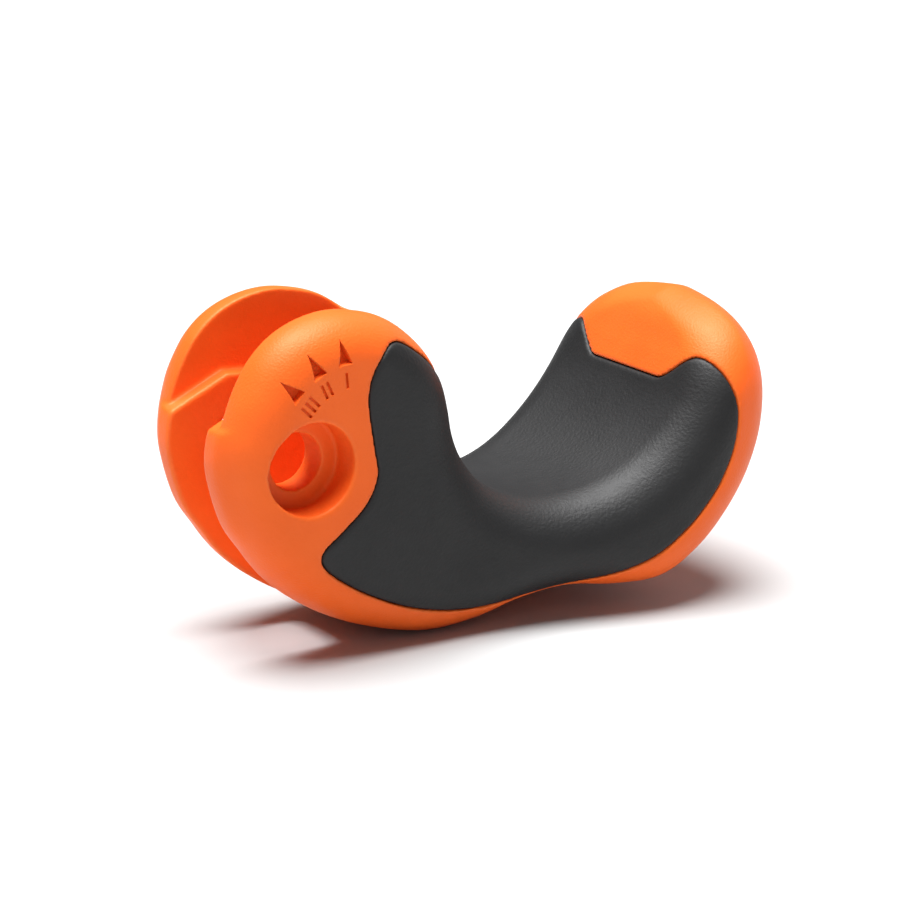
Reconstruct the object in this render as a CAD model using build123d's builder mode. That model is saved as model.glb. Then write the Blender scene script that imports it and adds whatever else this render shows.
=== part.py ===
"""Adjustable hand rest that bolts across the end of a tool's shaft.

The origin is on the clamp screw's axis, half way between the cheeks. X runs
from the fork to the horn, Y from the near cheek to the far one, Z up.
"""
import math
import os

from build123d import *

os.makedirs("parts", exist_ok=True)

# ---- driving sizes, millimetres ----
half_width = 11.7          # fork, from the middle to a cheek's flat outside
edge_radius = 5.6          # rounding of the fork's outside edges
roundness = 0.46           # corner radius of a horn section, as a share of its thickness
skin = 1.4                 # thickness of the soft cover
thinnest = 1.0             # least thickness of a horn section that is pulled in
reach = 30.0               # cutters run this far past the form

bore_radius = 3.3          # M6 screw, running clearance
head_seat_radius = 5.35    # counterbore for the screw's head
head_seat_depth = 3.9

upper_gap = 11.4           # fork slot above the ledge
lower_gap = 8.0            # fork slot below the ledge
web_x = 14.0               # closed end of the slot

nut_flats = 10.0           # M6 nut, across flats
nut_height = 5.0
nut_depth = 0.3            # how far the nut sits under the cheek's face
thread_radius = 2.5        # M6 thread, at its crests

mark_middle = (5.0, 2.2)   # size marks fan out round this X, Z
mark_angles = (137.5, 117, 96.5)
mark_bars = (3, 2, 1)
mark_spread = 5.4          # half of an arrowhead's base, in degrees
mark_inner = 9.3
mark_outer = 12.0
mark_floor = 10.3          # distance of a mark's floor from the middle plane
bar_length = 1.8
bar_thickness = 0.34
bar_depth = 0.35
bar_ring = 7.5
bar_step = 5.7             # degrees between bars

# side outlines, X and Z, millimetres
fork_crown = ((-8.6, 4.2), (5.0, 16.5), (18.5, 8.2))
fork_front = (25.5, -12.0)
fork_belly = (18.0, -23.9)
fork_back = ((6.0, -20.0), (-4.7, -11.6), (-9.2, -1.5))
slot_lower = ((-20, 20), (web_x, 20), (web_x, -7), (7, -20), (5, -30), (-20, -30))
slot_upper = ((-20, 20), (web_x, 20), (web_x, 6.4), (-1.8, 7.7), (-9.3, 4.3), (-20, 4.3))
cover_edge = (
    (11.0, 12.9), (7.4, 8.0), (8.5, -1.4), (5.7, -6.3), (1.6, -9.3), (3.4, -13.2), (14.0, -18.9),
    (28.0, -20.2), (39.0, -18.5), (49.3, -13.4), (55.0, -7.0), (56.8, -0.6), (54.4, 5.8),
)
cover_air = ((48.0, 9.0), (25.0, 9.0), (20.8, 4.4), (16.0, 10.0))

# dip in the cover's top edge on the horn, Y and Z, beyond dip_start in X
dip_start = 40.0
dip = ((-20, 5.8), (-11.0, 5.5), (-6.8, 2.4), (6.8, 2.4), (11.0, 5.5), (20, 5.8), (20, 20), (-20, 20))

# saddle and horn sections: middle X, middle Z, lean, width, thickness
sections = (
    (10.0, -11.5, 0, 22.0, 15.0),
    (22.0, -13.6, 0, 23.8, 15.4),
    (34.5, -15.0, 5, 28.0, 12.6),
    (43.8, -13.6, 22, 31.6, 14.2),
    (52.0, -8.6, 47, 34.2, 14.4),
    (57.4, -1.2, 76, 33.8, 12.8),
    (59.2, 5.6, 92, 30.4, 10.4),
    (59.3, 10.2, 92, 23.0, 7.4),
    (59.3, 12.6, 92, 12.0, 3.6),
)


def fork_form(inset):
    """The fork's outside: two round cheeks on one block, pulled in by inset."""
    side = Plane.XZ.offset(-half_width + inset)
    with BuildPart() as fork:
        with BuildSketch(side):
            with BuildLine():
                crown = ThreePointArc(*fork_crown)
                front = TangentArc(crown @ 1, fork_front, tangent=crown % 1)
                belly = TangentArc(front @ 1, fork_belly, tangent=front % 1)
                Spline(belly @ 1, *fork_back, crown @ 0, tangents=(belly % 1, crown % 0))
            make_face()
            if inset:
                offset(amount=-inset)
        extrude(amount=2 * (half_width - inset))
        flats = fork.faces().sort_by(Axis.Y)
        fillet(flats[0].edges() + flats[-1].edges(), radius=edge_radius - inset)
    return fork.part


def horn_form(inset):
    """Saddle and upturned horn, lofted through rounded sections."""
    with BuildPart() as horn:
        for x, z, lean, width, thick in sections:
            along = Vector(1, 0, 0).rotate(Axis.Y, -lean)
            across = max(thick - 2 * inset, thinnest)
            with BuildSketch(Plane(origin=(x, 0, z), x_dir=(0, 1, 0), z_dir=along)):
                RectangleRounded(width - 2 * inset, across, across * roundness)
        loft()
    return horn.part


def whole_form(inset):
    """The outside of the whole rest, pulled in by inset."""
    with BuildPart() as form:
        add(fork_form(inset))
        add(horn_form(inset))
    return form.part


def slot_cutter():
    """The fork's slot: wide above the ledge, narrow below it."""
    with BuildPart() as slot:
        for outline, gap in ((slot_lower, lower_gap), (slot_upper, upper_gap)):
            with BuildSketch(Plane.XZ.offset(-gap / 2)):
                with BuildLine():
                    Polyline(*outline, close=True)
                make_face()
            extrude(amount=gap)
    return slot.part


def hole_cutter():
    """Cross hole, the near counterbore and the far hexagonal nut pocket."""
    near_face = Plane.XZ.offset(half_width)
    with BuildPart() as holes:
        with BuildSketch(near_face):
            Circle(bore_radius)
        extrude(amount=-2 * half_width)
        with BuildSketch(near_face.offset(reach)):
            Circle(head_seat_radius)
        extrude(amount=-reach - head_seat_depth)
        with BuildSketch(Plane.XZ.offset(-half_width - reach)):
            RegularPolygon(nut_flats / 2, 6, major_radius=False)
        extrude(amount=reach + nut_depth + nut_height)
    return holes.part


def on_mark_ring(ring, angle):
    """A point round the size marks' middle."""
    turn = math.radians(angle)
    return (mark_middle[0] + ring * math.cos(turn), mark_middle[1] + ring * math.sin(turn))


def mark_cutter():
    """Three arrowheads, each over one, two or three short bars."""
    with BuildPart() as marks:
        with BuildSketch(Plane.XZ.offset(mark_floor)):
            for angle in mark_angles:
                with BuildLine():
                    Polyline(on_mark_ring(mark_outer, angle),
                             on_mark_ring(mark_inner, angle + mark_spread),
                             on_mark_ring(mark_inner, angle - mark_spread), close=True)
                make_face()
        extrude(amount=reach)
        with BuildSketch(Plane.XZ.offset(half_width - bar_depth)):
            for bars, angle in zip(mark_bars, mark_angles):
                for bar in range(bars):
                    lean = angle + (bar - (bars - 1) / 2) * bar_step
                    with Locations(Location((*on_mark_ring(bar_ring, lean), 0), (0, 0, angle))):
                        Rectangle(bar_length, bar_thickness)
        extrude(amount=reach)
    return marks.part


def cover_cutter():
    """Where the soft cover lies, seen from the side, less a dip in its edge on the horn."""
    with BuildPart() as cover:
        with BuildSketch(Plane.XZ.offset(-reach)):
            with BuildLine():
                edge = Spline(*cover_edge)
                Polyline(edge @ 1, *cover_air, edge @ 0)
            make_face()
        extrude(amount=2 * reach)
        with BuildSketch(Plane.YZ.offset(dip_start)):
            with BuildLine():
                Polyline(*dip, close=True)
            make_face()
        extrude(amount=reach, mode=Mode.SUBTRACT)
    return cover.part


outside = whole_form(0)
inside = whole_form(skin)

with BuildPart() as soft_grip:
    add(outside)
    add(cover_cutter(), mode=Mode.INTERSECT)
    add(inside, mode=Mode.SUBTRACT)
    add(slot_cutter(), mode=Mode.SUBTRACT)
soft_grip.part.label = "soft_grip"
export_step(soft_grip.part, "parts/soft_grip.step")

with BuildPart() as hand_rest_core:
    add(outside)
    add(soft_grip.part, mode=Mode.SUBTRACT)
    add(slot_cutter(), mode=Mode.SUBTRACT)
    add(hole_cutter(), mode=Mode.SUBTRACT)
    add(mark_cutter(), mode=Mode.SUBTRACT)
hand_rest_core.part.label = "hand_rest_core"
export_step(hand_rest_core.part, "parts/hand_rest_core.step")

with BuildPart() as captive_nut:
    with BuildSketch(Plane.XZ.offset(-half_width + nut_depth)):
        RegularPolygon(nut_flats / 2, 6, major_radius=False)
        Circle(thread_radius, mode=Mode.SUBTRACT)
    extrude(amount=nut_height)
captive_nut.part.label = "captive_nut"
export_step(captive_nut.part, "parts/captive_nut.step")
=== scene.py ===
"""Adjustable hand rest: moulded orange core, soft black cover and a captive nut.

The two plastic pieces are grown from one smooth form, described in millimetres
in the row frame: X from the fork to the horn, Y from the near cheek to the far
one, Z up, with the origin on the clamp screw's axis.
"""
import math

import bmesh
import bpy
import numpy as np
from mathutils import Matrix, Vector


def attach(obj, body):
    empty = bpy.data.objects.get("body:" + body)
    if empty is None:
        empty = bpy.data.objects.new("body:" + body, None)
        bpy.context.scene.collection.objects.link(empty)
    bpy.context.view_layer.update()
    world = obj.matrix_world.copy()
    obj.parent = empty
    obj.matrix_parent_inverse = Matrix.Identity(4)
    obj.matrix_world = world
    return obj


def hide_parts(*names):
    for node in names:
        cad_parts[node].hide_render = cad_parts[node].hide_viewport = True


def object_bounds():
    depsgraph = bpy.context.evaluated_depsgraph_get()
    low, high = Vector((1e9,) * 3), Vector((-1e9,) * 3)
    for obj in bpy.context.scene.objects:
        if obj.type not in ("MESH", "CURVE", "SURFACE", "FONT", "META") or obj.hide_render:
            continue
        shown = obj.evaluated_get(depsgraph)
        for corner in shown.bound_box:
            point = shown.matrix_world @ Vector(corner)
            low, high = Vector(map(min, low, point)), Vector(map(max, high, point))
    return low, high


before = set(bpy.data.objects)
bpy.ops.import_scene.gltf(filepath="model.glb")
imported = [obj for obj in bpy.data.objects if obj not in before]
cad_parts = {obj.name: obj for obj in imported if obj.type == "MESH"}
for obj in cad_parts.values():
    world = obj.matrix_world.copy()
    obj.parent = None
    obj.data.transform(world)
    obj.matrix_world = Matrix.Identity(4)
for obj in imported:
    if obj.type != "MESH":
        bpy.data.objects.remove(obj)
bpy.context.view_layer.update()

MM = 0.001

# ---- the form, millimetres ----
FORK_HALF = 11.7                 # middle plane to a cheek's flat outside
HORN_HALF = 17.1                 # and to the horn's widest place
FLARE = (19, 51)                 # X over which the fork widens into the horn
TIP_TAPER = (52, 0.018)          # X where the horn's back starts to narrow, and how fast
ARCH = (-2, 14.9)                # Z where the horn's round top starts, and its height
ARCH_BLEND = (36, 46)            # X over which that arch comes in
ARCH_POWERS = (2.6, 0.48)        # how square the arch is
FORK_ROUND = (6.8, 5.0)          # rounding of the fork's edges, low down and high up
FORK_CHANGE = (-2, 8)            # Z over which it changes
HORN_ROUND = (6.0, 5.5)
HORN_CHANGE = (-4, 8)
ROUND_BLEND = (18, 28)           # X from the fork's rounding to the horn's

SLOT_HIGH, SLOT_LOW = 5.7, 4.0   # half gap above the ledge and below it
LEDGE_RIM = (-9.1, 4.35)         # X, Z of the ledge's outer end
LEDGE_RISE = 0.47                # its slope from there
LEDGE_BEND = (-1.8, 7.8)         # X, Z where it starts to fall
LEDGE_FALL = 0.09
LEDGE_TILT = 0.1                 # across the ledge, down to the slot
RIM_STEP = 0.4                   # the rim stands out this far below the ledge
RIM_X, RIM_Y = (-5, -8), (8.5, 6.0)    # X and |Y| over which it comes in
WEB_X = 14.0                     # closed end of the slot
WEB_LEAN = (-7.0, 0.54)          # Z below which it leans back, and how much
WEB_RADIUS = 1.5

BORE_RADIUS = 3.3
SEAT_RADIUS = 5.35               # counterbore for the screw's head
SEAT_Y = -7.8                    # its floor
POCKET_HALF = 5.02               # nut pocket, half across flats
POCKET_Y = 6.4                   # its floor

SKIN = 1.4                       # soft cover
GROOVE = 0.06                    # gap round the cover
CRISP = 0.2                      # radius on moulded edges
COVER_ROUND = 0.25               # radius on the cover's edge
COVER_CORNER = 0.4               # radius at the corners of its outline
DIP_FLOOR, DIP_RISE = 2.3, 3.4   # dip in its edge on the horn: lowest Z, and rise to the sides
DIP_SPAN = (6.0, 11.8)           # |Y| over which it rises
DIP_START = 40                   # X
DIP_SLOPE = 0.75                 # makes Z in the dip a distance over the horn's leaning face

CHEEK_MIDDLE = (5.0, 2.2)        # X, Z of the size marks' middle
MARK_ANGLES = (137.5, 117.0, 96.5)
MARK_BARS = (3, 2, 1)
MARK_INNER, MARK_OUTER = 9.3, 12.0
MARK_HALF = 0.88                 # half of an arrowhead's base
MARK_FLOORS = (10.6, 9.9)        # floor's distance from the middle plane, base and tip
BAR_RING, BAR_HALF, BAR_THICK = 7.5, 0.9, 0.17
BAR_STEP = 0.75
BAR_FLOOR = 11.35
CUTTER_TOP = 14                  # clear of the cheek

GRID_STEP = 0.25
GRID_LOW, GRID_HIGH = (-12.07, -19.27, -26.0), (67.0, 19.2, 18.0)    # clear of the flats
RELAX_PASSES = 2

# side outline from the cheek's lower back, over its round top, the saddle and the horn,
# and back underneath
SIDE = [
    (-9.2, 2.2), (-8.2, 5.8), (-6.85, 9.1), (-4.85, 12.2), (-2.1, 14.5), (1.3, 15.9), (5.0, 16.4),
    (8.7, 15.9), (11.7, 14.9), (14.4, 13.1), (16.9, 10.6), (18.9, 7.4), (20.3, 3.8), (21.4, 0.2),
    (22.9, -3.1), (25.6, -6.4), (30.0, -8.7), (35.6, -9.1), (41.4, -7.6), (46.6, -4.3),
    (50.8, 0.4), (53.4, 5.6), (55.6, 9.9), (59.0, 12.7), (62.2, 11.2), (64.1, 6.8),
    (65.0, 1.0), (64.5, -4.5), (61.9, -9.7), (57.8, -14.3), (53.0, -18.2), (48.0, -20.7),
    (42.0, -20.9), (36.0, -20.4), (30.0, -21.4), (24.0, -23.3), (18.0, -23.8), (10.0, -21.7),
    (3.1, -18.4), (-2.8, -13.7), (-6.9, -7.7), (-9.0, -1.6),
]

# the soft cover's edge seen from the side; the stretch over the saddle lies in the air
COVER = [
    (11.0, 12.9), (8.2, 10.6), (7.2, 7.0), (8.0, 1.5), (8.5, -2.0), (7.0, -5.2), (4.0, -7.8),
    (1.4, -10.0), (2.4, -12.4), (7.5, -15.9), (14.0, -18.8), (21.0, -20.3), (28.0, -20.3),
    (36.0, -19.4), (43.3, -17.2), (49.3, -13.4), (53.7, -8.9), (56.0, -4.6), (56.6, -0.8),
    (56.0, 2.6), (54.4, 5.8), (50.0, 10.5), (38.0, 12.0), (26.0, 9.0), (20.8, 4.6), (18.4, 7.6),
    (15.2, 10.6),
]


# ---- curves and distances ----
def smooth(low, high, value):
    """0 below low, 1 above high, and an S curve between."""
    t = np.clip((value - low) / (high - low), 0, 1)
    return t * t * (3 - 2 * t)


def round_max(a, b, radius):
    """The solid inside both a and b, its edge rounded to radius."""
    return (np.minimum(np.maximum(a, b), -radius)
            + np.hypot(np.maximum(a + radius, 0), np.maximum(b + radius, 0)))


def closed_curve(points, steps=8):
    """A closed Catmull-Rom curve through points."""
    p = np.array(points, float)
    before, after, beyond = np.roll(p, 1, 0), np.roll(p, -1, 0), np.roll(p, -2, 0)
    t = (np.arange(steps) / steps)[None, :, None]
    curve = 0.5 * (2 * p[:, None] + (after - before)[:, None] * t
                   + (2 * before - 5 * p + 4 * after - beyond)[:, None] * t ** 2
                   + (3 * p - before - 3 * after + beyond)[:, None] * t ** 3)
    return curve.reshape(-1, 2)


def outline_distance(x, z, curve):
    """Signed distance in the X, Z plane to a closed curve, negative inside."""
    nearest = np.full(np.broadcast(x, z).shape, np.inf)
    inside = np.zeros(nearest.shape, bool)
    for (ax, az), (bx, bz) in zip(curve, np.roll(curve, -1, 0)):
        ex, ez = bx - ax, bz - az
        along = np.clip(((x - ax) * ex + (z - az) * ez) / (ex * ex + ez * ez), 0, 1)
        nearest = np.minimum(nearest, (x - ax - along * ex) ** 2 + (z - az - along * ez) ** 2)
        if bz != az:
            inside ^= ((az > z) != (bz > z)) & (x < ax + (z - az) * ex / ez)
    return np.where(inside, -1, 1) * np.sqrt(nearest)


def half_width(x, z):
    """Half the form's width at each place in the side view."""
    flare = FORK_HALF + (HORN_HALF - FORK_HALF) * smooth(*FLARE, x)
    flare = flare - TIP_TAPER[1] * np.maximum(x - TIP_TAPER[0], 0) ** 2
    rise = np.clip(np.maximum(z - ARCH[0], 0) / ARCH[1], 0, 0.995)
    arch = (1 - rise ** ARCH_POWERS[0]) ** ARCH_POWERS[1]
    return flare * (1 + (arch - 1) * smooth(*ARCH_BLEND, x))


def ledge_height(x):
    """The ledge inside the fork: up from the rim, then gently down."""
    rise = LEDGE_RIM[1] + LEDGE_RISE * (x - LEDGE_RIM[0])
    fall = LEDGE_BEND[1] - LEDGE_FALL * (x - LEDGE_BEND[0])
    return np.minimum(rise, fall)


class Grid:
    """Sample points over the whole object."""

    def __init__(self, step):
        self.step = step
        self.low = np.array(GRID_LOW)
        self.x, self.y, self.z = (np.arange(a, b, step, dtype=np.float32)
                                  for a, b in zip(self.low, GRID_HIGH))
        self.X = self.x[:, None, None]
        self.Y = self.y[None, :, None]
        self.Z = self.z[None, None, :]
        self.x2 = self.x[:, None]
        self.z2 = self.z[None, :]

    def side(self, curve):
        """A curve's distance, spread along Y."""
        return outline_distance(self.x2, self.z2, curve).astype(np.float32)[:, None, :]


def form_distance(g):
    """The whole outside form, before anything is cut from it."""
    side = g.side(closed_curve(SIDE))
    half = half_width(g.x2, g.z2)
    slope = np.sqrt(1 + sum(d ** 2 for d in np.gradient(half, g.step)))
    wall = (np.abs(g.Y) - half[:, None, :]) / slope[:, None, :]
    fork = FORK_ROUND[0] + (FORK_ROUND[1] - FORK_ROUND[0]) * smooth(*FORK_CHANGE, g.Z)
    horn = HORN_ROUND[0] + (HORN_ROUND[1] - HORN_ROUND[0]) * smooth(*HORN_CHANGE, g.Z)
    radius = fork + (horn - fork) * smooth(*ROUND_BLEND, g.X)
    below = (smooth(-CRISP, CRISP, ledge_height(g.X) - g.Z) * smooth(*RIM_X, g.X)
             * smooth(*RIM_Y, np.abs(g.Y)))
    return (round_max(side, wall, radius) - RIM_STEP * below).astype(np.float32)


def slot_distance(g):
    """The fork's slot: wide above the ledge, narrow below it."""
    wide = np.abs(g.Y) - SLOT_HIGH
    shelf = ledge_height(g.X) - LEDGE_TILT * (SLOT_HIGH - np.abs(g.Y)) - g.Z
    upper = round_max(wide, shelf, CRISP)
    lower = np.abs(g.Y) - SLOT_LOW
    web = g.X - WEB_X + WEB_LEAN[1] * np.maximum(WEB_LEAN[0] - g.Z, 0)
    return round_max(np.minimum(upper, lower), web, WEB_RADIUS)


def hole_distance(g):
    """Cross hole, near counterbore and far hexagonal pocket."""
    ring = np.hypot(g.X, g.Z)
    seat = np.maximum(ring - SEAT_RADIUS, g.Y - SEAT_Y)
    slanted = np.abs(g.X) * math.cos(math.pi / 6) + np.abs(g.Z) / 2
    hexagon = np.maximum(np.abs(g.Z), slanted) - POCKET_HALF
    pocket = np.maximum(hexagon, POCKET_Y - g.Y)
    return np.minimum(np.minimum(ring - BORE_RADIUS, seat), pocket)


def on_ring(angle, out, across):
    """X, Z of a place out from the cheek's middle along a size mark's angle."""
    turn = math.radians(angle)
    return (CHEEK_MIDDLE[0] + out * math.cos(turn) - across * math.sin(turn),
            CHEEK_MIDDLE[1] + out * math.sin(turn) + across * math.cos(turn))


def mark_prisms():
    """The size marks: arrowheads over three, two and one short bars.

    Each is an angle and its corners: out along the angle, across it, floor's depth.
    """
    base, tip = MARK_FLOORS
    for angle, bars in zip(MARK_ANGLES, MARK_BARS):
        yield angle, [(MARK_INNER, -MARK_HALF, base), (MARK_OUTER, 0, tip),
                      (MARK_INNER, MARK_HALF, base)]
        for bar in range(bars):
            middle = (bar - (bars - 1) / 2) * BAR_STEP
            yield angle, [(BAR_RING + out * BAR_HALF, middle + side * BAR_THICK, BAR_FLOOR)
                          for out, side in ((-1, -1), (1, -1), (1, 1), (-1, 1))]


def mark_mesh():
    """The size marks as closed prisms that stand out past the cheek."""
    cutter = bmesh.new()
    for angle, prism in mark_prisms():
        floor, top = [], []
        for out, across, depth in prism:
            x, z = on_ring(angle, out, across)
            floor.append(cutter.verts.new((x * MM, -depth * MM, z * MM)))
            top.append(cutter.verts.new((x * MM, -CUTTER_TOP * MM, z * MM)))
        cutter.faces.new(floor)
        cutter.faces.new(top[::-1])
        for k in range(len(prism)):
            cutter.faces.new((floor[k - 1], top[k - 1], top[k], floor[k]))
    bmesh.ops.recalc_face_normals(cutter, faces=cutter.faces)
    mesh = bpy.data.meshes.new("mark_cutter")
    cutter.to_mesh(mesh)
    cutter.free()
    return mesh


def cut_marks(piece):
    """Engrave the size marks into the near cheek."""
    tool = bpy.data.objects.new("mark_cutter", mark_mesh())
    bpy.context.scene.collection.objects.link(tool)
    cut = piece.modifiers.new("marks", "BOOLEAN")
    cut.operation, cut.solver, cut.object = "DIFFERENCE", "EXACT", tool
    graph = bpy.context.evaluated_depsgraph_get()
    carved = bpy.data.meshes.new_from_object(piece.evaluated_get(graph))
    piece.modifiers.clear()
    piece.data = carved
    bpy.data.objects.remove(tool)


def cover_distance(g):
    """Where the soft cover lies: its side outline, less the dip in its edge on the horn."""
    edge = g.side(closed_curve(COVER))
    dip = DIP_FLOOR + DIP_RISE * smooth(*DIP_SPAN, np.abs(g.Y))
    well_inside = -9.0
    above = np.where(g.X > DIP_START, (g.Z - dip) * DIP_SLOPE, well_inside)
    return round_max(edge, above, COVER_CORNER)


# ---- meshing ----
def relaxed(corners, faces):
    """Each corner moved half way to the mean of its neighbours."""
    start = np.concatenate([faces[:, k] for k in range(4)] * 2)
    end = np.concatenate([faces[:, k - 3] for k in range(4)] + [faces[:, k - 1] for k in range(4)])
    count = np.bincount(start, minlength=len(corners))[:, None]
    mean = np.stack([np.bincount(start, corners[end, k], len(corners)) for k in range(3)], 1)
    return 0.5 * corners + 0.5 * mean / count


def net_mesh(field, g):
    """Corners and four-sided faces of the surface where field is zero."""
    inside = field < 0
    cells = tuple(n - 1 for n in field.shape)
    total = np.zeros((3, int(np.prod(cells))))
    count = np.zeros(int(np.prod(cells)))
    rings = []
    for axis in range(3):
        low = [slice(None)] * 3
        high = [slice(None)] * 3
        low[axis], high[axis] = slice(0, -1), slice(1, None)
        a, b = field[tuple(low)], field[tuple(high)]
        crossed = np.nonzero(inside[tuple(low)] != inside[tuple(high)])
        start = np.stack(crossed, 1)
        point = start.astype(float)
        point[:, axis] += a[crossed] / (a[crossed] - b[crossed])
        first, second = (axis + 1) % 3, (axis + 2) % 3
        around = []
        for step_a, step_b in ((0, 0), (-1, 0), (-1, -1), (0, -1)):
            cell = start.copy()
            cell[:, first] += step_a
            cell[:, second] += step_b
            index = np.ravel_multi_index(cell.T, cells)
            for k in range(3):
                total[k] += np.bincount(index, point[:, k], len(count))
            count += np.bincount(index, minlength=len(count))
            around.append(index)
        quad = np.stack(around, 1)
        leaving = inside[tuple(low)][crossed]
        quad[~leaving] = quad[~leaving][:, ::-1]
        rings.append(quad)
    used = np.nonzero(count)[0]
    number = np.zeros(len(count), np.int64)
    number[used] = np.arange(len(used))
    corners = (total[:, used] / count[used]).T * g.step + g.low
    faces = number[np.concatenate(rings)]
    for _ in range(RELAX_PASSES):
        corners = relaxed(corners, faces)
    return corners, faces


def grow(name, node, field, g, material):
    """A closed piece from a distance field, in place of a CAD node."""
    corners, faces = net_mesh(field, g)
    mesh = bpy.data.meshes.new(name)
    mesh.from_pydata((corners * MM).tolist(), [], faces.tolist())
    mesh.validate()
    mesh.shade_smooth()
    normals = np.empty(len(corners) * 3, np.float32)
    mesh.vertex_normals.foreach_get("vector", normals)
    bulge = ((corners - relaxed(corners, faces)) * normals.reshape(-1, 3)).sum(1) / g.step
    mesh.attributes.new("edge", "FLOAT", "POINT").data.foreach_set("value", bulge)
    mesh.materials.append(material)
    piece = bpy.data.objects.new(name, mesh)
    bpy.context.scene.collection.objects.link(piece)
    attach(piece, "root")
    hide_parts(node)
    return piece


# ---- materials ----
def plain_material(name, rough):
    material = bpy.data.materials.new(name)
    material.use_nodes = True
    shader = material.node_tree.nodes["Principled BSDF"]
    shader.inputs["Roughness"].default_value = rough
    return material, material.node_tree.nodes, material.node_tree.links, shader


def noise(nodes, links, scale, detail=2.0):
    """Noise in the row frame; scale is in cells per metre."""
    place = nodes.new("ShaderNodeTexCoord")
    texture = nodes.new("ShaderNodeTexNoise")
    texture.inputs["Scale"].default_value = scale
    texture.inputs["Detail"].default_value = detail
    links.new(place.outputs["Object"], texture.inputs["Vector"])
    return texture.outputs["Fac"]


def ramp(nodes, links, value, low, high, first, last):
    """A value mapped from low..high to first..last colours."""
    step = nodes.new("ShaderNodeValToRGB")
    step.color_ramp.elements[0].position = low
    step.color_ramp.elements[0].color = (*first, 1)
    step.color_ramp.elements[1].position = high
    step.color_ramp.elements[1].color = (*last, 1)
    links.new(value, step.inputs["Fac"])
    return step.outputs["Color"]


def moulded(name, dark, light, worn, rough, gloss_level, tint, grain_scale, grain_height):
    """Moulded plastic or rubber: drifting colour, worn edges, fine grain.

    gloss_level and tint are the shader's specular level and its colour.
    """
    material, nodes, links, shader = plain_material(name, rough)
    shader.inputs["Specular IOR Level"].default_value = gloss_level
    shader.inputs["Specular Tint"].default_value = (*tint, 1)
    drift = ramp(nodes, links, noise(nodes, links, 90, 3), 0.3, 0.7, dark, light)
    shape = nodes.new("ShaderNodeAttribute")
    shape.attribute_name = "edge"
    edge = nodes.new("ShaderNodeMapRange")
    edge.inputs["From Min"].default_value = 0.02
    edge.inputs["From Max"].default_value = 0.09
    edge.inputs["To Max"].default_value = 0.35
    links.new(shape.outputs["Fac"], edge.inputs["Value"])
    wear = nodes.new("ShaderNodeMix")
    wear.data_type = "RGBA"
    wear.inputs["B"].default_value = (*worn, 1)
    links.new(edge.outputs["Result"], wear.inputs["Factor"])
    links.new(drift, wear.inputs["A"])
    links.new(wear.outputs["Result"], shader.inputs["Base Color"])
    gloss = nodes.new("ShaderNodeMapRange")
    gloss.inputs["To Min"].default_value = rough - 0.05
    gloss.inputs["To Max"].default_value = rough + 0.07
    links.new(noise(nodes, links, 600, 3), gloss.inputs["Value"])
    links.new(gloss.outputs["Result"], shader.inputs["Roughness"])
    bump = nodes.new("ShaderNodeBump")
    bump.inputs["Strength"].default_value = 0.5
    bump.inputs["Distance"].default_value = grain_height
    links.new(noise(nodes, links, grain_scale, 3), bump.inputs["Height"])
    links.new(bump.outputs["Normal"], shader.inputs["Normal"])
    return material


def zinc():
    """The nut's bright zinc plate, slightly mottled."""
    material, nodes, links, shader = plain_material("zinc_plate", 0.35)
    shader.inputs["Metallic"].default_value = 1.0
    links.new(ramp(nodes, links, noise(nodes, links, 900, 4), 0.3, 0.7,
                   (0.52, 0.52, 0.54), (0.68, 0.68, 0.7)), shader.inputs["Base Color"])
    bump = nodes.new("ShaderNodeBump")
    bump.inputs["Strength"].default_value = 0.3
    bump.inputs["Distance"].default_value = 0.00004
    links.new(noise(nodes, links, 5000, 3), bump.inputs["Height"])
    links.new(bump.outputs["Normal"], shader.inputs["Normal"])
    return material


def paper():
    """The pale floor."""
    material, nodes, links, shader = plain_material("pale_floor", 0.9)
    links.new(ramp(nodes, links, noise(nodes, links, 40, 2), 0.3, 0.7,
                   (0.46, 0.46, 0.46), (0.47, 0.47, 0.47)), shader.inputs["Base Color"])
    return material


# ---- pieces ----
grid = Grid(GRID_STEP)
form = form_distance(grid)
cover = cover_distance(grid)
soft = round_max(round_max(form, cover, COVER_ROUND), -(form + SKIN), CRISP)
soft = round_max(soft, -slot_distance(grid), CRISP)
recess = np.maximum(cover - GROOVE, -(form + SKIN))
core = round_max(form, -recess, CRISP)
core = round_max(core, -slot_distance(grid), CRISP)
core = round_max(core, -hole_distance(grid), CRISP)

orange = moulded("orange_nylon", dark=(0.84, 0.112, 0.012), light=(0.90, 0.132, 0.016),
                 worn=(0.95, 0.22, 0.05), rough=0.46, gloss_level=0.35, tint=(1.0, 0.78, 0.5),
                 grain_scale=3800, grain_height=0.00010)
black = moulded("black_elastomer", dark=(0.0125, 0.0125, 0.013), light=(0.017, 0.017, 0.0175),
                worn=(0.03, 0.03, 0.031), rough=0.5, gloss_level=0.28, tint=(1, 1, 1),
                grain_scale=2600, grain_height=0.00012)
cut_marks(grow("moulded_core", "hand_rest_core", core, grid, orange))
grow("soft_cover", "soft_grip", soft, grid, black)
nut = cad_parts["captive_nut"]
nut.data.materials.clear()
nut.data.materials.append(zinc())


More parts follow.
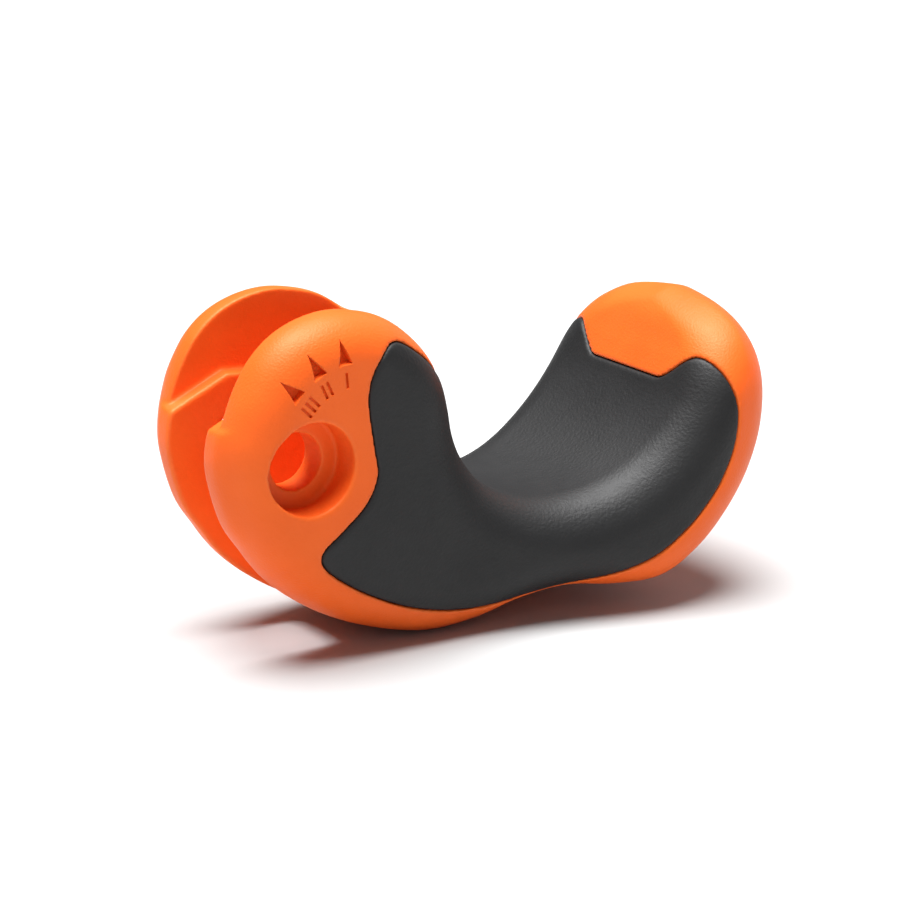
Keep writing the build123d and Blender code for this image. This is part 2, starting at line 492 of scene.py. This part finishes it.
# ---- stage, light and camera, metres ----
FLOOR_SIZE = 6
MIDDLE = (0.028, 0, -0.004)      # what the lights aim at
LIGHTS = (                       # name, place, size, watts
    ("top", (-0.18, 0.15, 2.0), 1.7, 128),
    ("front", (-0.50, -0.75, 0.35), 1.0, 0.8),
    ("behind", (0.60, 0.10, 0.35), 0.8, 1.0),
)
WORLD_LIGHT = 0.12
CAMERA_TURN, CAMERA_LIFT = math.radians(-30.8), math.radians(16.3)
CAMERA_DISTANCE = 0.320
CAMERA_AIM = (0.02267, -0.0017)  # right and up of the origin, as the photo has it
CAMERA_LENS = 110.5


def make_floor():
    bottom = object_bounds()[0][2]
    bpy.ops.mesh.primitive_plane_add(size=FLOOR_SIZE, location=(0, 0, bottom))
    floor = bpy.context.object
    floor.name = "floor"
    floor.data.materials.append(paper())


def add_light(name, place, size, watts):
    data = bpy.data.lights.new(name, "AREA")
    data.shape = "DISK"
    data.size = size
    data.energy = watts
    light = bpy.data.objects.new(name, data)
    light.location = place
    light.rotation_euler = (Vector(MIDDLE) - Vector(place)).to_track_quat("-Z", "Y").to_euler()
    bpy.context.scene.collection.objects.link(light)


def make_camera():
    """The photographer's place: low, off the near cheek, with a long lens."""
    turn, lift = CAMERA_TURN, CAMERA_LIFT
    back = Vector((math.sin(turn) * math.cos(lift), -math.cos(turn) * math.cos(lift),
                   math.sin(lift)))
    right = Vector((math.cos(turn), math.sin(turn), 0))
    up = back.cross(right)
    place = back * CAMERA_DISTANCE
    away = (place - (right * CAMERA_AIM[0] + up * CAMERA_AIM[1])).normalized()
    across = up.cross(away).normalized()
    data = bpy.data.cameras.new("camera")
    data.lens = CAMERA_LENS
    camera = bpy.data.objects.new("camera", data)
    camera.rotation_euler = Matrix((across, away.cross(across), away)).transposed().to_euler()
    camera.location = place
    bpy.context.scene.collection.objects.link(camera)
    bpy.context.scene.camera = camera


make_floor()
for light in LIGHTS:
    add_light(*light)
world = bpy.data.worlds.new("studio")
world.use_nodes = True
world.node_tree.nodes["Background"].inputs["Color"].default_value = (1, 1, 1, 1)
world.node_tree.nodes["Background"].inputs["Strength"].default_value = WORLD_LIGHT
bpy.context.scene.world = world
bpy.context.scene.view_settings.view_transform = "Standard"
make_camera()
